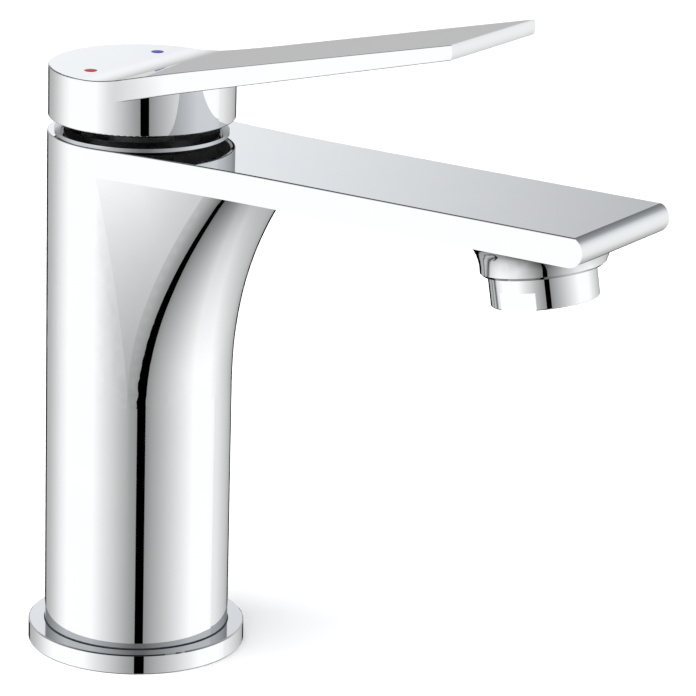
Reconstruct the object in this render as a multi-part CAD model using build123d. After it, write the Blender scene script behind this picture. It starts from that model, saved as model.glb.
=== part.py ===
from build123d import *
import os
from math import atan2, cos, degrees, hypot, pi, radians, sin, sqrt, tan

os.makedirs("parts", exist_ok=True)

# Single-lever basin mixer. Millimetres, +Z up, spout along +X.
# The origin is on the deck plane, on the barrel's axis.

# Clearances
fit_gap = 0.05             # between pieces that are pushed together by hand
running_gap = 0.08         # radial, where one piece turns inside another
slide_gap = 0.20           # between moving faces inside the cartridge
lapped_gap = 0.05          # water film between the ceramic discs
pocket_gap = 0.15          # radial, cartridge in its pocket
nut_gap = 0.30             # radial, nut around the cartridge's collar
ball_gap = 0.10            # stem's ball in its carrier

# Cartridge: the standard size that the barrel is drawn around
cartridge_radius = 17.5
cartridge_depth = 33.5     # its floor below the barrel's top
cartridge_wall = 1.9
cartridge_base_height = 6.0
housing_height = 24.0      # floor to the shoulder that the nut holds
housing_top_wall = 2.3
collar_wall = 2.5
collar_height = 7.0
peg_radius = 1.4
peg_length = 2.0
peg_y = 13.0

# Ceramic discs and their carrier
disc_height = 3.0
disc_side_gap = 0.1
moving_disc_radius = 11.0
mixing_cavity_radius = 7.6
mixing_cavity_depth = 1.5
mixing_cavity_x = -1.5
carrier_height = 5.4
carrier_floor = 0.35
carrier_cone = 0.8

# Ports through the cartridge and the casting
inlet_x = 5.5
inlet_y = 8.5
outlet_x = -5.0
port_radius = 2.8
port_seal_height = 0.9
port_seal_wall = 1.1

# Stem, rotor and pin
tilt_limit = 20.0
ball_radius = 3.0
ball_arm = 8.0             # ball centre below the tilt axis
stem_half = 3.95           # half of the stem's square
stem_square_drop = 3.9     # square runs on below the tilt axis
stem_neck_radius = 2.2
rotor_neck_radius = 11.0
rotor_flange_overhang = 3.5
rotor_flange_height = 2.7
rotor_proud = 0.6          # rotor above its collar
rotor_slot_back = 7.8
rotor_slot_front = 6.0
pin_radius = 1.5
pin_end_gap = 1.2          # pin's end inside the rotor's neck

# Barrel
barrel_top = 128.5
rim_round = 0.4            # barrel's rim and the spout's top edges
nut_thread_step = 1.35     # thread bore beyond the cartridge pocket
rim_wall = 3.5             # barrel wall outside the nut's thread
cavity_wall = 4.0          # hollow foot's wall
web_thickness = 25.0       # solid web between the hollow foot and the cartridge
nut_runout = 0.5

# Base flange and its seals
flange_height = 5.0
flange_overhang = 4.0
flange_edge = 0.3
flange_lip_height = 4.0
flange_lip_wall = 1.5
gasket_width = 3.5
gasket_height = 1.5
body_seal_radius = 0.8     # of its round section

# Threads for hoses and stud, as plain cylinders at the nominal size
hose_thread_radius = 5.0
hose_thread_depth = 12.0
stud_thread_radius = 4.0
stud_thread_depth = 12.0
stud_x = -9.0

# Nut and trim ring
nut_hex_step = 2.5         # hexagon's corners inside the thread
nut_hex_height = 1.0
ring_inset = 1.64          # trim ring inside the barrel's edge
ring_edge = 0.45
ring_rise = 1.5
ring_slope_width = 1.76
ring_lid = 0.5
ring_hole_step = 0.8       # ring's hole beyond the cartridge's collar

# Spout
spout_thickness = 6.9
spout_side_inset = 3.1     # spout's side inside the barrel's
spout_crease_x = 130.1     # where the flat top ends
spout_nose_bulge = 2.25    # nose beyond that crease
spout_blend = 400.0        # plan radius between barrel and spout
channel_wall = 1.8
channel_side_wall = 6.4
passage_radius = 2.5
passage_drop = 7.0         # level passage below the cartridge's floor
riser_bottom_inset = 2.5   # riser's foot inside the barrel's face
riser_top_reach = 8.5      # riser's head beyond the barrel's face

# Flare that carries the spout down into the barrel
flare_height = 55.6
flare_radius = 90.0
flare_narrowing = 5.8
flare_side_radius = 150.0  # how full the sides are between barrel and nose
flare_sections = 8
flare_split_angle = 60.0   # where nose and barrel arcs part at the bottom

# Aerator, on an axis that leans outwards
aerator_setback = 18.8     # behind the spout's crease
aerator_lean = 10.0
neck_drop = 7.5            # rim's centre below the spout
neck_wall = 2.3            # outside the aerator's thread
neck_sweep = 9.5           # radius of the sweep into the spout's underside
neck_front_reach = 3.3     # how far the sweep runs forward, where the flat underside ends
neck_side_margin = 0.4     # left between the sweep and the spout's sides
neck_rim_chamfer = 0.7
neck_sweep_turn = 84.0     # degrees of the sweep, which ends just inside the spout
neck_root = 0.1            # how far the sweep goes into the spout
neck_spare = 5.0           # straight length that the leaning rim is cut from
neck_sections = 7
aerator_thread_radius = 11.6
aerator_thread_depth = 8.5
outlet_well_radius = 9.0
shell_overhang = 0.7       # collar beyond the thread
shell_drop = 7.1
shell_thread_length = 6.5
shell_wall = 1.35
shell_lip_height = 1.2
shell_lip_width = 1.0
shell_round = 0.3
flat_depth = 0.9
flat_height = 4.0
insert_wall = 1.3
insert_height = 7.9
grid_height = 1.4
grid_hole_radius = 0.85
grid_pitch = 2.3
regulator_height = 2.6
regulator_hole_radius = 0.8
regulator_hole_circle = 5.6
regulator_holes = 12
screen_height = 0.5
washer_height = 1.8
washer_width = 2.55

# Handle
cap_inset = 0.2            # cap inside the barrel's edge
cap_gap = 3.6              # cap above the barrel
cap_round = 0.3            # cap's and lever's outer edges
cap_height = 12.3
cap_wall = 1.2
cap_lid = 2.4
cap_mouth_chamfer = 0.5
blade_side_inset = 4.6     # blade's side inside the cap's
blade_blend = 60.0         # plan radius between cap and blade
blade_tip_x = 96.2
blade_top_drop = 0.9       # blade's top line below the cap's top, at the axis
blade_root_thickness = 5.5
blade_top_angle = 13.12
blade_under_angle = 14.25
blade_tip_bulge = 0.4
blade_bend_radius = 50.0
boss_wall = 3.8
boss_drop = 1.0            # boss below the cap's mouth
socket_spare = 0.5
socket_lid = 1.5
screw_drop = 6.9           # grub screw below the cap's top
screw_radius = 2.5
screw_length = 5.0
screw_key_radius = 1.0
screw_key_depth = 2.5
plug_radius = 3.2
plug_depth = 2.2
dot_radius = 1.5
dot_depth = 0.6
dot_x = -5.4
dot_y = 13.2

# Radii that follow from those above
pocket_radius = cartridge_radius + pocket_gap
nut_bore_radius = pocket_radius + nut_thread_step
barrel_radius = nut_bore_radius + rim_wall
cavity_radius = barrel_radius - cavity_wall
lip_radius = cavity_radius - fit_gap
flange_bore = lip_radius - flange_lip_wall
flange_radius = barrel_radius + flange_overhang
gasket_middle = (flange_radius + flange_bore) / 2
body_seal_middle = (cavity_radius + barrel_radius) / 2
housing_bore = cartridge_radius - cartridge_wall
collar_bore = rotor_neck_radius + running_gap
collar_radius = collar_bore + collar_wall
nut_inner_radius = collar_radius + nut_gap
nut_hex_radius = nut_bore_radius - nut_hex_step
spout_half_width = barrel_radius - spout_side_inset
neck_radius = aerator_thread_radius + neck_wall
shell_radius = aerator_thread_radius + shell_overhang
shell_bore = aerator_thread_radius - fit_gap - shell_wall
insert_radius = shell_bore - fit_gap
insert_bore = insert_radius - insert_wall
cap_radius = barrel_radius - cap_inset
cap_bore = cap_radius - cap_wall
blade_half_width = cap_radius - blade_side_inset
socket_half = stem_half + fit_gap
boss_radius = socket_half + boss_wall

# Heights that follow from those above
cartridge_floor = barrel_top - cartridge_depth
fixed_disc_bottom = cartridge_floor + cartridge_base_height
moving_disc_bottom = fixed_disc_bottom + disc_height + lapped_gap
carrier_bottom = moving_disc_bottom + disc_height
carrier_top = carrier_bottom + carrier_height
ball_height = carrier_bottom + carrier_floor + ball_gap + ball_radius
pivot_height = ball_height + ball_arm
shoulder = cartridge_floor + housing_height
collar_top = shoulder + collar_height
rotor_flange_top = shoulder - housing_top_wall - slide_gap
rotor_bottom = rotor_flange_top - rotor_flange_height
rotor_top = collar_top + rotor_proud
housing_bottom = cartridge_floor + cartridge_base_height / 2
web_bottom = cartridge_floor - web_thickness
passage_height = cartridge_floor - passage_drop
spout_bottom = barrel_top - spout_thickness
flare_bottom = spout_bottom - flare_height
channel_bottom = spout_bottom + channel_wall
channel_top = barrel_top - channel_wall
cap_bottom = barrel_top + cap_gap
cap_top = cap_bottom + cap_height
cap_ceiling = cap_top - cap_lid
socket_top = cap_ceiling - socket_lid
stem_top = socket_top - socket_spare
screw_height = cap_top - screw_drop

# The aerator's own frame: its +Z runs up into the boss
aerator_x = spout_crease_x - aerator_setback
aerator_place = Plane(
    origin=(aerator_x, 0, spout_bottom - neck_drop),
    x_dir=(cos(radians(aerator_lean)), 0, sin(radians(aerator_lean))),
    z_dir=(-sin(radians(aerator_lean)), 0, cos(radians(aerator_lean))),
).location
insert_bottom = -shell_drop + shell_lip_height
insert_top = insert_bottom + insert_height


def rod(radius, bottom, top, x=0.0, y=0.0):
    """A vertical cylinder between two heights."""
    return Pos(x, y, (bottom + top) / 2) * Cylinder(radius, top - bottom)


def tube(outer, inner, bottom, top):
    return rod(outer, bottom, top) - rod(inner, bottom, top)


def block(low, high):
    """A box between two corners."""
    size = [high[i] - low[i] for i in range(3)]
    middle = [(high[i] + low[i]) / 2 for i in range(3)]
    return Pos(*middle) * Box(*size)


def turned(points):
    """A solid of revolution about Z, from (radius, height) points."""
    outline = Polyline(*[(r, 0, z) for r, z in points], close=True)
    return revolve(make_face(outline), Axis.Z)


def drilled(radius, start, end):
    """A cylinder along the line between two points."""
    along = Vector(*end) - Vector(*start)
    frame = Plane(origin=start, z_dir=along)
    return frame.location * Pos(0, 0, along.length / 2) * Cylinder(radius, along.length)


def arc_about(centre, radius, start_angle, end_angle, height):
    """A horizontal arc by centre and angles, in degrees."""
    def at(angle):
        turn = radians(angle)
        return (centre[0] + radius * cos(turn), centre[1] + radius * sin(turn), height)
    return ThreePointArc(at(start_angle), at((start_angle + end_angle) / 2), at(end_angle))


def tongue(radius, half_width, blend, tip_x, bottom, top):
    """A round with a straight tongue along +X, joined by concave blends."""
    centre_x = sqrt((radius + blend) ** 2 - (half_width + blend) ** 2)
    centre_y = half_width + blend
    meet = degrees(atan2(centre_y, centre_x))
    edges = [
        arc_about((0, 0), radius, meet, 360 - meet, bottom),
        arc_about((centre_x, -centre_y), blend, 180 - meet, 90, bottom),
        Line((centre_x, -half_width, bottom), (tip_x, -half_width, bottom)),
        Line((tip_x, -half_width, bottom), (tip_x, half_width, bottom)),
        Line((tip_x, half_width, bottom), (centre_x, half_width, bottom)),
        arc_about((centre_x, centre_y), blend, 270, 180 + meet, bottom),
    ]
    return extrude(make_face(edges), amount=top - bottom, dir=(0, 0, 1))


def outline_edges(shape, height):
    """Edges of a flat top, other than straight ones across it."""
    flat = shape.edges().filter_by_position(Axis.Z, height - 0.01, height + 0.01)
    return flat - flat.filter_by(Axis.Y)


def side_prism(edges, half_width):
    """A closed outline in the XZ plane, widened to both sides."""
    return extrude(make_face(edges), amount=half_width, dir=(0, 1, 0), both=True)


def flare_outline(height):
    """Round barrel and a smaller round nose, joined by two wide arcs that touch both."""
    rise = height - flare_bottom
    share = rise / (spout_bottom - flare_bottom)
    front = barrel_radius + flare_radius - sqrt(flare_radius ** 2 - rise ** 2)
    nose = barrel_radius - flare_narrowing * (3 * share ** 2 - 2 * share ** 3)
    nose_x = front - nose
    if rise == 0:
        side_radius = barrel_radius
        side_x, side_y = 0, 0
        back_angle = flare_split_angle + 1
        nose_angle = flare_split_angle - 1
    else:
        side_radius = flare_side_radius
        back_reach = side_radius - barrel_radius
        nose_reach = side_radius - nose
        side_x = (back_reach ** 2 - nose_reach ** 2 + nose_x ** 2) / (2 * nose_x)
        side_y = sqrt(back_reach ** 2 - side_x ** 2)
        back_angle = degrees(atan2(side_y, -side_x))
        nose_angle = degrees(atan2(side_y, nose_x - side_x))
    middle = radians(back_angle + nose_angle) / 2
    side_point = (side_x + side_radius * cos(middle), side_radius * sin(middle) - side_y)
    back = arc_about((0, 0), barrel_radius, back_angle, 360 - back_angle, height)
    tip = arc_about((nose_x, 0), nose, -nose_angle, nose_angle, height)
    return Wire([
        back,
        ThreePointArc(back @ 1, (side_point[0], -side_point[1], height), tip @ 0),
        tip,
        ThreePointArc(tip @ 1, (*side_point, height), back @ 0),
    ])


def flare():
    step = (spout_bottom - flare_bottom) / flare_sections
    heights = [flare_bottom + i * step for i in range(flare_sections + 1)]
    return Solid.make_loft([flare_outline(z) for z in heights])


def spout_slab():
    """Flat spout with a bullnose that starts at a crease in its top."""
    bulge = spout_nose_bulge
    depth = spout_thickness
    half = bulge + depth
    nose_radius = half - sqrt(half ** 2 - bulge ** 2 - depth ** 2)
    nose_x = spout_crease_x + bulge - nose_radius
    nose_z = spout_bottom + nose_radius
    start_x = -barrel_radius - 1
    crease = (spout_crease_x, 0, barrel_top)
    under = (nose_x, 0, spout_bottom)
    edges = [
        Line((start_x, 0, spout_bottom), under),
        ThreePointArc(under, (nose_x + nose_radius, 0, nose_z), crease),
        Line(crease, (start_x, 0, barrel_top)),
        Line((start_x, 0, barrel_top), (start_x, 0, spout_bottom)),
    ]
    plan = tongue(barrel_radius, spout_half_width, spout_blend,
                  nose_x + 2 * nose_radius, spout_bottom, barrel_top)
    slab = plan & side_prism(edges, barrel_radius + 1)
    return fillet(outline_edges(slab, barrel_top), rim_round)


def neck_outline(reach, height):
    """Oval section: the sweep's reach differs to the back, the sides and the front."""
    front = neck_radius + reach * neck_front_reach / neck_sweep
    side_reach = spout_half_width - neck_side_margin - neck_radius
    side = neck_radius + reach * side_reach / neck_sweep
    place = Plane((aerator_x, 0, height))
    return Wire([
        place * EllipticalCenterArc((0, 0), front, side, start_angle=-90, arc_size=180),
        place * EllipticalCenterArc((0, 0), neck_radius + reach, side, start_angle=90, arc_size=180),
    ])


def neck():
    """Boss under the spout: sweeps out to meet the underside, and leans at its rim."""
    start = spout_bottom + neck_root - neck_sweep * sin(radians(neck_sweep_turn))
    outlines = [neck_outline(0, start - neck_spare), neck_outline(0, start - neck_spare / 2)]
    for i in range(neck_sections + 1):
        turn = radians(neck_sweep_turn * i / neck_sections)
        reach = neck_sweep * (1 - cos(turn))
        outlines.append(neck_outline(reach, start + neck_sweep * sin(turn)))
    span = 2 * neck_radius
    below_rim = aerator_place * block((-span, -span, -span), (span, span, 0))
    shape = Solid.make_loft(outlines) - below_rim
    rim = shape.edges().sort_by(Axis.Z)[0]
    return chamfer(rim, neck_rim_chamfer)


def waterway():
    """Passage from the cartridge's outlet to the spout's end."""
    riser_x = barrel_radius - riser_bottom_inset
    channel_x = barrel_radius + riser_top_reach
    half_width = spout_half_width - channel_side_wall
    elbow = (outlet_x, 0, passage_height)
    knuckle = (riser_x, 0, passage_height)
    riser_top = (channel_x, 0, (channel_bottom + channel_top) / 2)
    way = rod(passage_radius, passage_height, cartridge_floor, outlet_x)
    way += Pos(*elbow) * Sphere(passage_radius)
    way += drilled(passage_radius, elbow, knuckle)
    way += Pos(*knuckle) * Sphere(passage_radius)
    way += drilled(passage_radius, knuckle, riser_top)
    way += block((channel_x - passage_radius, -half_width, channel_bottom),
                 (aerator_x, half_width, channel_top))
    return way + rod(outlet_well_radius, spout_bottom - neck_drop, channel_top, aerator_x)


def body():
    """The casting: barrel, flare, spout and boss, with its machined holes."""
    barrel = rod(barrel_radius, flange_height, flare_bottom)
    cast = barrel + flare() + spout_slab() + neck()
    cast -= rod(cavity_radius, flange_height, web_bottom)
    cast -= rod(pocket_radius, cartridge_floor, barrel_top)
    cast -= rod(nut_bore_radius, shoulder - nut_runout, barrel_top)
    cast -= waterway()
    cast -= aerator_place * rod(aerator_thread_radius, 0, aerator_thread_depth)
    for y in (-inlet_y, inlet_y):
        cast -= rod(port_radius, web_bottom, cartridge_floor, inlet_x, y)
        cast -= rod(hose_thread_radius, web_bottom, web_bottom + hose_thread_depth, inlet_x, y)
    for y in (-peg_y, peg_y):
        cast -= rod(peg_radius + fit_gap, cartridge_floor - peg_length, cartridge_floor, outlet_x, y)
    return cast - rod(stud_thread_radius, web_bottom, web_bottom + stud_thread_depth, stud_x)


def base_flange():
    """Round foot with a lip that centres the barrel, and a groove on each face."""
    plate = tube(flange_radius, flange_bore, 0, flange_height)
    rims = plate.edges().filter_by(GeomType.CIRCLE).group_by(SortBy.RADIUS)[-1]
    plate = chamfer(rims, flange_edge)
    plate += tube(lip_radius, flange_bore, flange_height, flange_height + flange_lip_height)
    plate -= tube(gasket_middle + gasket_width / 2, gasket_middle - gasket_width / 2, 0, gasket_height)
    return plate - tube(body_seal_middle + body_seal_radius, body_seal_middle - body_seal_radius,
                        flange_height - 2 * body_seal_radius, flange_height)


def base_gasket():
    half = gasket_width / 2 - fit_gap
    return tube(gasket_middle + half, gasket_middle - half, 0, gasket_height)


def body_seal():
    return Pos(0, 0, flange_height - body_seal_radius) * Torus(body_seal_middle, body_seal_radius)


def retaining_nut():
    thread = tube(nut_bore_radius - fit_gap, nut_inner_radius, shoulder, barrel_top)
    hexagon = extrude(Plane.XY.offset(barrel_top) * RegularPolygon(nut_hex_radius, 6), nut_hex_height)
    return thread + (hexagon - rod(nut_inner_radius, barrel_top, barrel_top + nut_hex_height))


def trim_ring():
    """Turned ring that covers the nut; its sloping face shows under the cap."""
    outer = barrel_radius - ring_inset
    top = barrel_top + ring_rise
    room = nut_hex_radius + fit_gap
    hole = collar_radius + ring_hole_step
    return turned([
        (outer, barrel_top),
        (outer, barrel_top + ring_edge),
        (outer - ring_slope_width, top),
        (hole, top),
        (hole, top - ring_lid),
        (room, top - ring_lid),
        (room, barrel_top),
    ])


def port_places():
    return [(inlet_x, inlet_y), (inlet_x, -inlet_y), (outlet_x, 0)]


def cartridge_base():
    plate = rod(housing_bore - fit_gap, cartridge_floor, fixed_disc_bottom)
    plate += rod(cartridge_radius, cartridge_floor, housing_bottom)
    seat = port_radius + port_seal_wall + fit_gap
    for x, y in port_places():
        plate -= rod(port_radius, cartridge_floor, fixed_disc_bottom, x, y)
        plate -= rod(seat, cartridge_floor, cartridge_floor + port_seal_height, x, y)
        plate -= rod(seat, fixed_disc_bottom - port_seal_height, fixed_disc_bottom, x, y)
    for y in (-peg_y, peg_y):
        plate += rod(peg_radius, cartridge_floor - peg_length, cartridge_floor, outlet_x, y)
    return plate


def port_seals(bottom):
    """Three rubber rings in the seats of the cartridge base."""
    top = bottom + port_seal_height
    rings = []
    for x, y in port_places():
        outer = rod(port_radius + port_seal_wall, bottom, top, x, y)
        rings.append(outer - rod(port_radius, bottom, top, x, y))
    return Compound(children=rings)


def fixed_disc():
    radius = housing_bore - disc_side_gap
    disc = rod(radius, fixed_disc_bottom, fixed_disc_bottom + disc_height)
    for x, y in port_places():
        disc -= rod(port_radius, fixed_disc_bottom, fixed_disc_bottom + disc_height, x, y)
    return disc


def moving_disc():
    disc = rod(moving_disc_radius, moving_disc_bottom, carrier_bottom)
    cavity = rod(mixing_cavity_radius, moving_disc_bottom,
                 moving_disc_bottom + mixing_cavity_depth, mixing_cavity_x)
    return disc - cavity


def disc_carrier():
    """Sits on the moving disc; the stem's ball pushes it in its bore."""
    carrier = rod(moving_disc_radius, carrier_bottom, carrier_top)
    bore = ball_radius + ball_gap
    carrier -= rod(bore, ball_height - ball_radius - ball_gap, carrier_top)
    mouth = Pos(0, 0, carrier_top - carrier_cone / 2) * Cone(bore, bore + carrier_cone, carrier_cone)
    return carrier - mouth


def cartridge_housing():
    shell = rod(cartridge_radius, housing_bottom, shoulder)
    shell += rod(collar_radius, shoulder, collar_top)
    shell -= rod(housing_bore, housing_bottom, shoulder - housing_top_wall)
    return shell - rod(collar_bore, housing_bottom, collar_top)


def cross_pin(radius, half_length):
    return drilled(radius, (0, -half_length, pivot_height), (0, half_length, pivot_height))


def stem_rotor():
    """Turns in the collar and carries the stem's pin."""
    rotor = rod(rotor_neck_radius, rotor_bottom, rotor_top)
    rotor += rod(rotor_neck_radius + rotor_flange_overhang, rotor_bottom, rotor_flange_top)
    room = stem_half + slide_gap
    rotor -= block((-rotor_slot_back, -room, rotor_bottom), (rotor_slot_front, room, rotor_top))
    return rotor - stem_pin()


def stem_pin():
    return cross_pin(pin_radius, rotor_neck_radius - pin_end_gap)


def stem():
    """Square where the handle grips it, with a ball at its lower end."""
    square_bottom = pivot_height - stem_square_drop
    shape = block((-stem_half, -stem_half, square_bottom), (stem_half, stem_half, stem_top))
    shape += rod(stem_neck_radius, ball_height, square_bottom)
    shape += Pos(0, 0, ball_height) * Sphere(ball_radius)
    return shape - cross_pin(pin_radius + running_gap, stem_half)


def lever_edges(shape):
    """Edges that run along the lever, and round the cap's top."""
    kept = ShapeList()
    for edge in shape.edges():
        way = edge.tangent_at(0.5)
        crosses = edge.geom_type == GeomType.LINE and abs(way.Y) > abs(way.X)
        middle = edge.center()
        outer = middle.Z > cap_top - cap_round or middle.X > cap_radius / 2
        if outer and not crosses and abs(way.Z) < abs(way.X) + abs(way.Y):
            kept.append(edge)
    return kept


def blade():
    """Upper part of the handle, between its top line and its underside."""
    slope = tan(radians(blade_top_angle))
    under_slope = tan(radians(blade_under_angle))
    top_root = cap_top - blade_top_drop
    under_root = top_root - blade_root_thickness
    back_x = -cap_radius - 1
    reach = blade_bend_radius * tan(radians(blade_top_angle / 2))
    bend_x = blade_top_drop / slope - reach
    turn = radians(blade_top_angle)
    bend = ThreePointArc(*[
        (bend_x + blade_bend_radius * sin(share * turn), 0,
         cap_top + blade_bend_radius * (1 - cos(share * turn)))
        for share in (0, 0.5, 1)
    ])
    tip_top = (blade_tip_x, 0, top_root + slope * blade_tip_x)
    tip_under = (blade_tip_x, 0, under_root + under_slope * blade_tip_x)
    tip_middle = (blade_tip_x + blade_tip_bulge, 0, (tip_top[2] + tip_under[2]) / 2)
    back_under = (back_x, 0, under_root + under_slope * back_x)
    edges = [
        bend,
        Line(bend @ 1, tip_top),
        ThreePointArc(tip_top, tip_middle, tip_under),
        Line(tip_under, back_under),
        Line(back_under, (back_x, 0, cap_top)),
        Line((back_x, 0, cap_top), bend @ 0),
    ]
    plan = tongue(cap_radius, blade_half_width, blade_blend,
                  blade_tip_x + cap_height, back_under[2], tip_top[2] + cap_height)
    shape = plan & side_prism(edges, cap_radius + 1)
    return fillet(lever_edges(shape), cap_round)


def handle():
    """Cap and lever in one casting, hollow below, with a square socket."""
    cap = rod(cap_radius, cap_bottom, cap_top - 1.5 * cap_round)
    shape = fillet(cap.edges().group_by(Axis.Z)[0], cap_round) + blade()
    shape -= rod(cap_bore, cap_bottom, cap_ceiling)
    shape -= Pos(0, 0, cap_bottom + cap_mouth_chamfer / 2) * Cone(
        cap_bore + cap_mouth_chamfer, cap_bore, cap_mouth_chamfer)
    boss_bottom = cap_bottom - boss_drop
    shape += rod(boss_radius, boss_bottom, cap_ceiling)
    shape -= block((-socket_half, -socket_half, boss_bottom), (socket_half, socket_half, socket_top))
    shape -= drilled(screw_radius, (0, 0, screw_height), (-boss_radius - 1, 0, screw_height))
    shape -= drilled(plug_radius, (-cap_bore + 1, 0, screw_height), (-cap_radius - 1, 0, screw_height))
    for y in (-dot_y, dot_y):
        shape -= rod(dot_radius + fit_gap, cap_top - dot_depth, cap_top, dot_x, y)
    return shape


def handle_screw():
    """Grub screw that holds the handle on the stem's square."""
    end = -socket_half - screw_length
    screw = drilled(screw_radius - fit_gap, (-socket_half, 0, screw_height), (end, 0, screw_height))
    key_end = end + screw_key_depth
    return screw - drilled(screw_key_radius, (key_end, 0, screw_height), (end, 0, screw_height))


def screw_plug():
    """Cover over the screw's access hole, flush with the cap's wall."""
    stub = drilled(plug_radius - fit_gap, (-cap_radius + plug_depth, 0, screw_height),
                   (-cap_radius - 1, 0, screw_height))
    return stub & rod(cap_radius, cap_bottom, cap_top)


def index_dot(y):
    return rod(dot_radius, cap_top - dot_depth, cap_top, dot_x, y)


def aerator_shell():
    """Threaded shell with two spanner flats on its collar."""
    collar = rod(shell_radius, -shell_drop, 0)
    shape = fillet(collar.edges().group_by(Axis.Z)[0], shell_round)
    shape += rod(aerator_thread_radius - fit_gap, 0, shell_thread_length)
    shape -= rod(shell_bore, insert_bottom, shell_thread_length)
    shape -= rod(shell_bore - shell_lip_width, -shell_drop, insert_bottom)
    middle = shell_radius - flat_depth / 2
    for y in (-middle, middle):
        shape -= Pos(0, y, -shell_drop + flat_height / 2) * Box(2 * shell_radius, flat_depth, flat_height)
    return aerator_place * shape


def aerator_insert():
    return aerator_place * tube(insert_radius, insert_bore, insert_bottom, insert_top)


def outlet_grid():
    """Disc with a close pattern of holes that breaks up the stream."""
    radius = insert_bore - fit_gap
    top = insert_bottom + grid_height
    row_pitch = grid_pitch * sqrt(3) / 2
    rows = int(radius // row_pitch)
    disc = rod(radius, insert_bottom, top)
    for row in range(-rows, rows + 1):
        for column in range(-rows, rows + 1):
            x = (column + (row % 2) / 2) * grid_pitch
            y = row * row_pitch
            if hypot(x, y) + 1.5 * grid_hole_radius < radius:
                disc -= rod(grid_hole_radius, insert_bottom, top, x, y)
    return aerator_place * disc


def flow_regulator():
    bottom = insert_top - regulator_height
    disc = rod(insert_bore - fit_gap, bottom, insert_top)
    for i in range(regulator_holes):
        turn = 2 * pi * i / regulator_holes
        disc -= rod(regulator_hole_radius, bottom, insert_top,
                    regulator_hole_circle * cos(turn), regulator_hole_circle * sin(turn))
    return aerator_place * disc


def inlet_screen():
    return aerator_place * rod(insert_radius, insert_top, insert_top + screen_height)


def aerator_washer():
    outer = aerator_thread_radius - fit_gap
    return aerator_place * tube(outer, outer - washer_width, shell_thread_length,
                                shell_thread_length + washer_height)


nodes = {
    "body": body(),
    "base_flange": base_flange(),
    "base_gasket": base_gasket(),
    "body_seal": body_seal(),
    "retaining_nut": retaining_nut(),
    "trim_ring": trim_ring(),
    "cartridge_base": cartridge_base(),
    "cartridge_housing": cartridge_housing(),
    "floor_seals": port_seals(cartridge_floor),
    "disc_seals": port_seals(fixed_disc_bottom - port_seal_height),
    "fixed_disc": fixed_disc(),
    "moving_disc": moving_disc(),
    "disc_carrier": disc_carrier(),
    "stem_rotor": stem_rotor(),
    "stem_pin": stem_pin(),
    "stem": stem(),
    "handle": handle(),
    "handle_screw": handle_screw(),
    "screw_plug": screw_plug(),
    "hot_dot": index_dot(-dot_y),
    "cold_dot": index_dot(dot_y),
    "aerator_shell": aerator_shell(),
    "aerator_insert": aerator_insert(),
    "outlet_grid": outlet_grid(),
    "flow_regulator": flow_regulator(),
    "inlet_screen": inlet_screen(),
    "aerator_washer": aerator_washer(),
}

for name, shape in nodes.items():
    export_step(shape, f"parts/{name}.step")
    print(name, round(shape.volume, 1))

travel = (pivot_height - ball_height) * sin(radians(tilt_limit))
print("disc travel", round(travel, 4), "per radian", round(travel / radians(tilt_limit), 4))
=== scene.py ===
import bmesh
import bpy
from math import cos, pi, radians, sin, tan
from mathutils import Matrix, Vector


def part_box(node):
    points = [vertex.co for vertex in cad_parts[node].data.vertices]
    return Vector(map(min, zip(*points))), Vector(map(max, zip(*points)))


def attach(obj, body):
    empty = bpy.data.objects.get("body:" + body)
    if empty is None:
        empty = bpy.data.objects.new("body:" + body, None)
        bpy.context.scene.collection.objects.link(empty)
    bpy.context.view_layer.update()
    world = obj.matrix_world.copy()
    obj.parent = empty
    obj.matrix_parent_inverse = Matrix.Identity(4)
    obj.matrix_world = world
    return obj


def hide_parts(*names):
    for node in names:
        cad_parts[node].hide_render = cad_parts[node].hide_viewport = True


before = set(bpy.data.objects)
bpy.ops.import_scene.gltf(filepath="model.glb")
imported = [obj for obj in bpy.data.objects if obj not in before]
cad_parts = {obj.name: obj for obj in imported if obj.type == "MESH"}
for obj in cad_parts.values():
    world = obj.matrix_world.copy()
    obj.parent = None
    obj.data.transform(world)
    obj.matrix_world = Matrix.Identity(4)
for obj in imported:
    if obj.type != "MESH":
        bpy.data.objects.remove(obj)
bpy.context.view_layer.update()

print("frame loaded:", len(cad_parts), "CAD nodes")


class Wire:
    # a socket that takes part in sums and products by adding Math nodes
    def __init__(self, tree, socket):
        self.tree = tree
        self.socket = socket

    def maths(self, operation, first, second):
        node = self.tree.nodes.new("ShaderNodeMath")
        node.operation = operation
        for place, value in enumerate((first, second)):
            if isinstance(value, Wire):
                self.tree.links.new(value.socket, node.inputs[place])
            else:
                node.inputs[place].default_value = value
        return Wire(self.tree, node.outputs[0])

    def __add__(self, other):
        return self.maths("ADD", self, other)

    def __radd__(self, other):
        return self.maths("ADD", other, self)

    def __sub__(self, other):
        return self.maths("SUBTRACT", self, other)

    def __rsub__(self, other):
        return self.maths("SUBTRACT", other, self)

    def __mul__(self, other):
        return self.maths("MULTIPLY", self, other)

    def __rmul__(self, other):
        return self.maths("MULTIPLY", other, self)

    def __truediv__(self, other):
        return self.maths("DIVIDE", self, other)

    def __pow__(self, other):
        return self.maths("POWER", self, other)

    def __lt__(self, other):
        return self.maths("LESS_THAN", self, other)

    def __gt__(self, other):
        return self.maths("GREATER_THAN", self, other)


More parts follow.
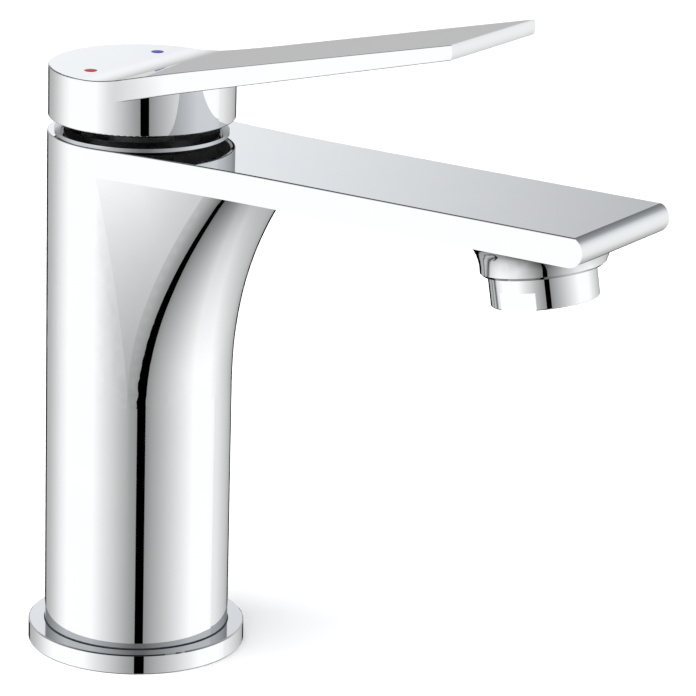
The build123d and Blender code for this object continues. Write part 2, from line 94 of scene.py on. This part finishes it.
class Shader:
    # one node tree, and the one way that nodes are added to it
    def __init__(self, owner):
        owner.use_nodes = True
        self.tree = owner.node_tree
        self.tree.nodes.clear()

    def node(self, kind, settings=None, inputs=None, output=0):
        made = self.tree.nodes.new(kind)
        for name, value in (settings or {}).items():
            if name == "stops":
                self.setStops(made.color_ramp, value)
            else:
                setattr(made, name, value)
        for name, value in (inputs or {}).items():
            if isinstance(value, Wire):
                self.tree.links.new(value.socket, made.inputs[name])
            else:
                made.inputs[name].default_value = value
        return Wire(self.tree, made.outputs[output]) if len(made.outputs) else made

    def setStops(self, ramp, stops):
        while len(ramp.elements) > 1:
            ramp.elements.remove(ramp.elements[-1])
        for place, (position, value) in enumerate(stops):
            element = ramp.elements[0] if place == 0 else ramp.elements.new(position)
            element.position = position
            colour = value if isinstance(value, tuple) else (value, value, value)
            element.color = (*colour, 1)

    def ramp(self, factor, stops):
        return self.node("ShaderNodeValToRGB", {"stops": stops}, {"Fac": factor})

    def span(self, value, low, high, start=0.0, end=1.0):
        # a value carried softly from one range to another, and held at the ends
        return self.node("ShaderNodeMapRange", {"interpolation_type": "SMOOTHSTEP"}, {
            "Value": value, "From Min": low, "From Max": high, "To Min": start, "To Max": end})

    def window(self, value, rise, fall):
        # a mask that comes up over one range and goes down over a later one
        return self.span(value, *rise) * self.span(value, *fall, 1.0, 0.0)

    def blend(self, factor, first, second, way="MIX"):
        # colours: inputs 6 and 7 and output 2 are the colour ones
        return self.node("ShaderNodeMix", {"data_type": "RGBA", "blend_type": way},
                         {0: factor, 6: first, 7: second}, 2)

    def place(self):
        return self.node("ShaderNodeTexCoord", output="Object")

    def axes(self, vector):
        parts = self.tree.nodes.new("ShaderNodeSeparateXYZ")
        self.tree.links.new(vector.socket, parts.inputs[0])
        return [Wire(self.tree, parts.outputs[i]) for i in range(3)]

    def noise(self, place, scale, detail=2.0, roughness=0.5):
        return self.node("ShaderNodeTexNoise", inputs={
            "Vector": place, "Scale": scale, "Detail": detail, "Roughness": roughness})

    def bump(self, height, strength, distance):
        return self.node("ShaderNodeBump", inputs={
            "Height": height, "Strength": strength, "Distance": distance})


def newMaterial(name):
    material = bpy.data.materials.new(name)
    return material, Shader(material)


def principled(shader, inputs):
    surface = shader.node("ShaderNodeBsdfPrincipled", inputs=inputs)
    shader.node("ShaderNodeOutputMaterial", inputs={"Surface": surface})


chromeFinish = {
    "plate": (0.545, 0.553, 0.556),      # what chromium reflects head on
    "deepPlate": (0.520, 0.530, 0.536),  # slightly thinner plating, in faint clouds
    "cloudScale": 55.0,
    "smooth": 0.018,
    "hazy": 0.060,                       # roughness where the polish is a little dull
    "hazeScale": 140.0,
    "hazeRange": (0.45, 0.8),
    "peelScale": 900.0,
    "peelDepth": 0.0000016,              # polishing ripple, in metres
    "peelStrength": 0.15,
    "castStrength": 0.4,                 # bump of a casting with a raw inside
    "peelShare": 0.02,                   # ripple beside the raw casting's grain
    "grainRoughness": 0.3,
}


def chromeMaterial(name, raw=None):
    # mirror plating; raw says where the casting was never plated or polished
    material, shader = newMaterial(name)
    place = shader.place()
    clouds = shader.noise(place, chromeFinish["cloudScale"], 3.0, 0.6)
    haze = shader.noise(place, chromeFinish["hazeScale"], 4.0, 0.6)
    dull = shader.span(haze, *chromeFinish["hazeRange"])
    plate = shader.blend(clouds, (*chromeFinish["plate"], 1), (*chromeFinish["deepPlate"], 1))
    rough = dull * (chromeFinish["hazy"] - chromeFinish["smooth"]) + chromeFinish["smooth"]
    peel = shader.noise(place, chromeFinish["peelScale"], 1.0)
    if raw is None:
        normal = shader.bump(peel, chromeFinish["peelStrength"], chromeFinish["peelDepth"])
        principled(shader, {"Base Color": plate, "Roughness": rough, "Metallic": 1.0, "Normal": normal})
        return material
    x, y, z = shader.axes(place)
    out = (x * x + y * y) ** 0.5
    inside = (out < raw["radius"]) * (z < raw["top"]) * (z > raw["bottom"])
    grain = shader.noise(place, raw["grainScale"], 5.0, 0.65)
    castColour = shader.ramp(grain, [(0.25, raw["dark"]), (0.75, raw["light"])])
    colour = shader.blend(inside, plate, castColour)
    castRough = grain * chromeFinish["grainRoughness"] + raw["rough"]
    roughness = rough * (1 - inside) + castRough * inside
    height = peel * chromeFinish["peelShare"] * (1 - inside) + grain * inside
    normal = shader.bump(height, chromeFinish["castStrength"], raw["grainDepth"])
    principled(shader, {"Base Color": colour, "Roughness": roughness, "Metallic": 1.0, "Normal": normal})
    return material


rawBrass = {
    "radius": 0.0222, "bottom": 0.0, "top": 0.12835,
    "dark": (0.42, 0.28, 0.12), "light": (0.62, 0.45, 0.22),
    "rough": 0.28, "grainScale": 900.0, "grainDepth": 0.00006,
}
rawZinc = {
    "radius": 0.0212, "bottom": 0.1306, "top": 0.14205,
    "dark": (0.24, 0.245, 0.25), "light": (0.40, 0.405, 0.41),
    "rough": 0.30, "grainScale": 1100.0, "grainDepth": 0.00004,
}

turnedFinish = {
    "ringScale": 9000.0,     # turning marks, in radians to the metre
    "ringStrength": 0.15,
    "ringDepth": 0.000012,
    "stainScale": 260.0,
    "stainRoughness": 0.15,
}


def turnedMetal(name, dark, light, rough):
    # machined surfaces: fine turning marks round the upright axis, over a soft stain
    material, shader = newMaterial(name)
    place = shader.place()
    x, y, z = shader.axes(place)
    out = (x * x + y * y) ** 0.5
    marks = (out + z) * turnedFinish["ringScale"]
    ripple = shader.node("ShaderNodeMath", {"operation": "SINE"}, {0: marks})
    stain = shader.noise(place, turnedFinish["stainScale"], 4.0, 0.6)
    colour = shader.ramp(stain, [(0.3, dark), (0.7, light)])
    normal = shader.bump(ripple, turnedFinish["ringStrength"], turnedFinish["ringDepth"])
    principled(shader, {
        "Base Color": colour, "Roughness": stain * turnedFinish["stainRoughness"] + rough,
        "Metallic": 1.0, "Normal": normal})
    return material


mouldedFinish = {
    "cloudScale": 180.0,
    "grainRoughness": 0.12,
    "grainStrength": 0.5,
}


def mouldedMaterial(name, dark, light, rough, grainScale=1600.0, depth=0.00001):
    # plastics, rubber and ceramic: a fine moulded grain and faint clouds of tone
    material, shader = newMaterial(name)
    place = shader.place()
    cloud = shader.noise(place, mouldedFinish["cloudScale"], 3.0, 0.55)
    grain = shader.noise(place, grainScale, 2.0, 0.5)
    colour = shader.ramp(cloud, [(0.3, dark), (0.7, light)])
    principled(shader, {
        "Base Color": colour, "Roughness": grain * mouldedFinish["grainRoughness"] + rough,
        "Metallic": 0.0, "Normal": shader.bump(grain, mouldedFinish["grainStrength"], depth)})
    return material


enamelFinish = {
    "fleckScale": 2200.0,
    "rough": 0.42,
    "fleckRoughness": 0.12,
    "specular": 0.25,
    "peelStrength": 0.3,
    "peelDepth": 0.00001,
}


def enamelMaterial(name, deep, bright):
    # fired enamel: two tones of one colour in fine flecks, with a little orange peel
    material, shader = newMaterial(name)
    place = shader.place()
    flecks = shader.noise(place, enamelFinish["fleckScale"], 3.0, 0.6)
    colour = shader.ramp(flecks, [(0.25, deep), (0.8, bright)])
    principled(shader, {
        "Base Color": colour,
        "Roughness": flecks * enamelFinish["fleckRoughness"] + enamelFinish["rough"],
        "Metallic": 0.0, "Specular IOR Level": enamelFinish["specular"],
        "Normal": shader.bump(flecks, enamelFinish["peelStrength"], enamelFinish["peelDepth"])})
    return material


finishes = {
    "bodyChrome": chromeMaterial("bodyChrome", rawBrass),
    "leverChrome": chromeMaterial("leverChrome", rawZinc),
    "trimChrome": chromeMaterial("trimChrome"),
    "turnedBrass": turnedMetal("turnedBrass", (0.50, 0.33, 0.13), (0.68, 0.49, 0.24), 0.22),
    "brightSteel": turnedMetal("brightSteel", (0.42, 0.42, 0.43), (0.58, 0.58, 0.59), 0.20),
    "cartridgeWhite": mouldedMaterial("cartridgeWhite", (0.62, 0.63, 0.62), (0.74, 0.74, 0.73), 0.32),
    "polishedCeramic": mouldedMaterial("polishedCeramic", (0.78, 0.76, 0.70), (0.86, 0.84, 0.79), 0.10,
                                       grainScale=900.0, depth=0.000002),
    "aeratorGrey": mouldedMaterial("aeratorGrey", (0.50, 0.51, 0.52), (0.66, 0.67, 0.68), 0.28),
    "sealRubber": mouldedMaterial("sealRubber", (0.012, 0.012, 0.013), (0.028, 0.028, 0.030), 0.55,
                                  grainScale=2400.0, depth=0.00002),
    "hotEnamel": enamelMaterial("hotEnamel", (0.20, 0.016, 0.020), (0.28, 0.030, 0.034)),
    "coldEnamel": enamelMaterial("coldEnamel", (0.036, 0.030, 0.20), (0.058, 0.048, 0.28)),
}
nodeFinishes = {
    "body": "bodyChrome", "handle": "leverChrome", "base_flange": "trimChrome",
    "trim_ring": "trimChrome", "aerator_shell": "trimChrome", "screw_plug": "trimChrome",
    "retaining_nut": "turnedBrass", "stem": "turnedBrass", "stem_pin": "brightSteel",
    "handle_screw": "brightSteel", "inlet_screen": "brightSteel",
    "cartridge_base": "cartridgeWhite", "cartridge_housing": "cartridgeWhite",
    "stem_rotor": "cartridgeWhite", "disc_carrier": "cartridgeWhite",
    "fixed_disc": "polishedCeramic", "moving_disc": "polishedCeramic",
    "aerator_insert": "aeratorGrey", "outlet_grid": "aeratorGrey", "flow_regulator": "aeratorGrey",
    "base_gasket": "sealRubber", "body_seal": "sealRubber", "floor_seals": "sealRubber",
    "disc_seals": "sealRubber", "aerator_washer": "sealRubber",
    "hot_dot": "hotEnamel", "cold_dot": "coldEnamel",
}
for nodeName, finish in nodeFinishes.items():
    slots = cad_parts[nodeName].material_slots
    for oneSlot in slots:
        oneSlot.material = finishes[finish]
    if not len(slots):
        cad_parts[nodeName].data.materials.append(finishes[finish])
print("finishes on", len(nodeFinishes), "nodes")


def beginPiece():
    if bpy.context.object and bpy.context.object.mode != "OBJECT":
        bpy.ops.object.mode_set(mode="OBJECT")
    bpy.ops.object.select_all(action="DESELECT")


def editFaces(piece, wanted):
    # edit mode, with only the faces selected for which wanted(normal) holds
    if piece.mode != "EDIT":
        bpy.ops.object.mode_set(mode="EDIT")
    bpy.ops.mesh.select_mode(type="FACE")
    bpy.ops.mesh.select_all(action="DESELECT")
    mesh = bmesh.from_edit_mesh(piece.data)
    for face in mesh.faces:
        if wanted(face.normal):
            face.select_set(True)
    mesh.select_flush_mode()
    bmesh.update_edit_mesh(piece.data)


def finishPiece(piece, name, body, slotName, finish, *replaced, angle=35):
    if piece.mode != "OBJECT":
        bpy.ops.object.mode_set(mode="OBJECT")
    bpy.ops.object.transform_apply(location=True, rotation=True, scale=True)
    bpy.ops.object.shade_smooth_by_angle(angle=radians(angle))
    piece.name = name
    piece.data.materials.clear()
    piece.data.materials.append(finishes[finish])
    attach(piece, body)
    if replaced:
        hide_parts(*replaced)


indexDot = {
    "rings": 6,              # insets that round the dome
    "rise": 0.00014,         # crown above the handle's top
    "edge": 0.00006,         # rolled edge
    "pinch": 0.86,           # how much of the radius the dome takes
    "sides": 64,
}


def buildIndexDot(node, name, slotName, finish):
    # a button of enamel, crowned where surface tension pulled it up
    low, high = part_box(node)
    radius = (high[0] - low[0]) / 2
    depth = high[2] - low[2]
    beginPiece()
    bpy.ops.mesh.primitive_cylinder_add(
        vertices=indexDot["sides"], radius=radius, depth=depth, end_fill_type="NGON",
        location=[(a + b) / 2 for a, b in zip(low, high)])
    piece = bpy.context.object
    editFaces(piece, lambda normal: normal.z > 0.9)
    bpy.ops.mesh.inset(thickness=indexDot["edge"])
    bpy.ops.transform.translate(value=(0, 0, indexDot["edge"]))
    steps = indexDot["rings"] + 1
    done = 0.0
    for ring in range(1, steps):
        crown = indexDot["rise"] * (1 - (1 - ring / steps) ** 2)
        bpy.ops.mesh.inset(thickness=radius * indexDot["pinch"] / steps)
        bpy.ops.transform.translate(value=(0, 0, crown - done))
        done = crown
    finishPiece(piece, name, "lever", slotName, finish, node)


buildIndexDot("hot_dot", "hotDot", "hot_enamel", "hotEnamel")
buildIndexDot("cold_dot", "coldDot", "cold_enamel", "coldEnamel")
print("index dots crowned")

# painted shade: a thin black ring that draws a dark line in the crease at the foot of the barrel
creaseShadeLine = {
    "line": 0.00022,         # half the width of the painted dark line
    "squash": 0.72,          # flatter than round
    "sides": 160,
    "sectionSides": 12,
}


def buildCreaseShadeLine():
    # painted shade: a black rubber hairline ring laid in the crease where the barrel meets its flange,
    # darkening the joint
    low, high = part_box("body")
    height = creaseShadeLine["line"] * creaseShadeLine["squash"]
    beginPiece()
    bpy.ops.mesh.primitive_torus_add(
        major_radius=-low[0], minor_radius=creaseShadeLine["line"],
        major_segments=creaseShadeLine["sides"], minor_segments=creaseShadeLine["sectionSides"],
        location=(0, 0, low[2] + height / 2))
    piece = bpy.context.object
    editFaces(piece, lambda normal: True)
    bpy.ops.transform.resize(value=(1, 1, creaseShadeLine["squash"]))
    finishPiece(piece, "creaseShadeLine", "root", "seal_rubber", "sealRubber")


buildCreaseShadeLine()
# the painted shade line round the foot is now in place
print("seam round the foot laid")

# brightness of the tent by compass angle in degrees from +X, and by height above
# the horizon; a range is where a mask comes up or goes down
studio = {
    "gain": 1.82,              # chromium keeps about half of what it mirrors
    "skyTint": (0.97, 0.99, 1.03),
    "tintRange": (-0.1, 0.4),
    "tent": [(-180, 0.62), (-165, 0.86), (-152, 1.02), (-112, 1.02), (-97, 0.80),
             (-82, 0.61), (-67, 0.41), (-55, 0.28), (-44, 0.28), (-37, 0.37), (-22, 0.53),
             (-7, 0.71), (8, 0.89), (18, 1.02), (46, 1.02), (60, 0.83), (75, 0.65),
             (90, 0.49), (105, 0.30), (150, 0.33), (165, 0.44), (180, 0.62)],
    "heights": [(-90, 0.12), (-75, 0.25), (-65, 0.42), (-55, 0.62), (-45, 0.76), (-35, 0.88),
                (-25, 1.0), (10, 0.97), (20, 0.85), (30, 0.45), (45, 0.25), (58, 0.06), (90, 0.02)],
    # a dark flag stands behind, with a paler card above it
    "flagSides": ((106, 110), (145, 149)),
    "flagHeights": ((-0.73, -0.68), (-0.19, -0.14)),
    "cardSides": ((112, 129), (132, 148)),
    "cardHeights": ((-0.09, 0.21), (0.42, 0.64)),
    "cardLevel": 0.46,
    # a narrow black strip, below eye level, draws the dark line down round surfaces
    "stripSides": ((-55.8, -55.3), (-45.2, -44.7)),
    "stripTop": (0.02, 0.12),
}


def turnShare(angle):
    # a compass angle as a share of the whole turn, counted from -X
    return (angle + 180) / 360


def sideRanges(ranges):
    return [[turnShare(angle) for angle in oneRange] for oneRange in ranges]


def buildWorld():
    world = bpy.data.worlds.new("studioTent")
    bpy.context.scene.world = world
    shader = Shader(world)
    direction = shader.node("ShaderNodeTexCoord", output="Generated")
    x, y, z = shader.axes(direction)
    turn = shader.node("ShaderNodeMath", {"operation": "ARCTAN2"}, {0: y, 1: x}) / (2 * pi) + 0.5
    tent = shader.ramp(turn, [(turnShare(angle), level) for angle, level in studio["tent"]])
    rise = shader.ramp(z * 0.5 + 0.5, [
        ((sin(radians(angle)) + 1) / 2, level) for angle, level in studio["heights"]])
    flag = (shader.window(turn, *sideRanges(studio["flagSides"]))
            * shader.window(z, *studio["flagHeights"]))
    card = (shader.window(turn, *sideRanges(studio["cardSides"]))
            * shader.window(z, *studio["cardHeights"]))
    strip = (shader.window(turn, *sideRanges(studio["stripSides"]))
             * shader.span(z, *studio["stripTop"], 1.0, 0.0))
    level = tent * rise * (1 - flag) * (1 - strip) + card * studio["cardLevel"]
    tint = shader.blend(shader.span(z, *studio["tintRange"]), (1, 1, 1, 1), (*studio["skyTint"], 1))
    colour = shader.blend(1.0, tint, level, "MULTIPLY")
    lit = shader.node("ShaderNodeBackground", inputs={"Color": colour, "Strength": studio["gain"]})
    plain = shader.node("ShaderNodeBackground", inputs={"Color": (1, 1, 1, 1), "Strength": 1.0})
    seen = shader.node("ShaderNodeLightPath", output="Is Camera Ray")
    mixed = shader.node("ShaderNodeMixShader", inputs={0: seen, 1: lit, 2: plain})
    shader.node("ShaderNodeOutputWorld", inputs={"Surface": mixed})


floorFinish = {
    "size": 12.0,
    "tone": (0.94, 0.94, 0.938),
    "mottleScale": 8.0,
    "mottleShade": 0.985,
    "rough": 0.8,
    "mottleRoughness": 0.1,
}


def buildFloor():
    bpy.ops.mesh.primitive_plane_add(size=floorFinish["size"], location=(0, 0, 0))
    floor = bpy.context.object
    floor.name = "floor"
    material, shader = newMaterial("paleFloor")
    mottle = shader.noise(shader.place(), floorFinish["mottleScale"], 3.0)
    shaded = tuple(floorFinish["mottleShade"] * part for part in floorFinish["tone"])
    tone = shader.ramp(mottle, [(0.3, shaded), (0.7, floorFinish["tone"])])
    roughness = mottle * floorFinish["mottleRoughness"] + floorFinish["rough"]
    principled(shader, {"Base Color": tone, "Roughness": roughness})
    floor.data.materials.append(material)
    floor.visible_glossy = False


softLights = {
    "overheadSoftbox": {"place": (0.3, -0.5, 1.8), "aim": (0.05, 0, 0.05), "size": 2.4, "power": 62},
    "sideSoftbox": {"place": (-1.4, -1.2, 1.0), "aim": (0.05, 0, 0.08), "size": 1.4, "power": 14},
}


def softLight(name, place, aim, size, power):
    data = bpy.data.lights.new(name, "AREA")
    data.shape = "DISK"
    data.size = size
    data.energy = power
    lamp = bpy.data.objects.new(name, data)
    bpy.context.scene.collection.objects.link(lamp)
    lamp.location = place
    lamp.rotation_euler = (Vector(aim) - Vector(place)).to_track_quat("-Z", "Y").to_euler()
    lamp.visible_glossy = False
    lamp.visible_camera = False


buildWorld()
buildFloor()
for lightName, lightSettings in softLights.items():
    softLight(lightName, **lightSettings)

view = {
    "azimuth": 33.063, "elevation": 16.957, "roll": 1.642,   # degrees
    "distance": 0.92325,
    "target": (0.04225, 0.02751, 0.07573),
    "fieldOfView": 10.4095,
    "sensor": 36.0,
    "nearest": 0.05, "furthest": 60.0,
}


def placeCamera():
    turn, rise, roll = (radians(view[part]) for part in ("azimuth", "elevation", "roll"))
    back = Vector((sin(turn) * cos(rise), -cos(turn) * cos(rise), sin(rise)))
    level = Vector((cos(turn), sin(turn), 0))
    upright = back.cross(level)
    right = level * cos(roll) + upright * sin(roll)
    up = upright * cos(roll) - level * sin(roll)
    data = bpy.data.cameras.new("productCamera")
    data.sensor_width = view["sensor"]
    data.lens = view["sensor"] / 2 / tan(radians(view["fieldOfView"]) / 2)
    data.clip_start = view["nearest"]
    data.clip_end = view["furthest"]
    camera = bpy.data.objects.new("productCamera", data)
    bpy.context.scene.collection.objects.link(camera)
    frameAxes = Matrix((right, up, back)).transposed().to_4x4()
    camera.matrix_world = Matrix.Translation(Vector(view["target"]) + back * view["distance"]) @ frameAxes
    bpy.context.scene.camera = camera


placeCamera()
bpy.context.scene.view_settings.view_transform = "Standard"
print("studio and camera placed")
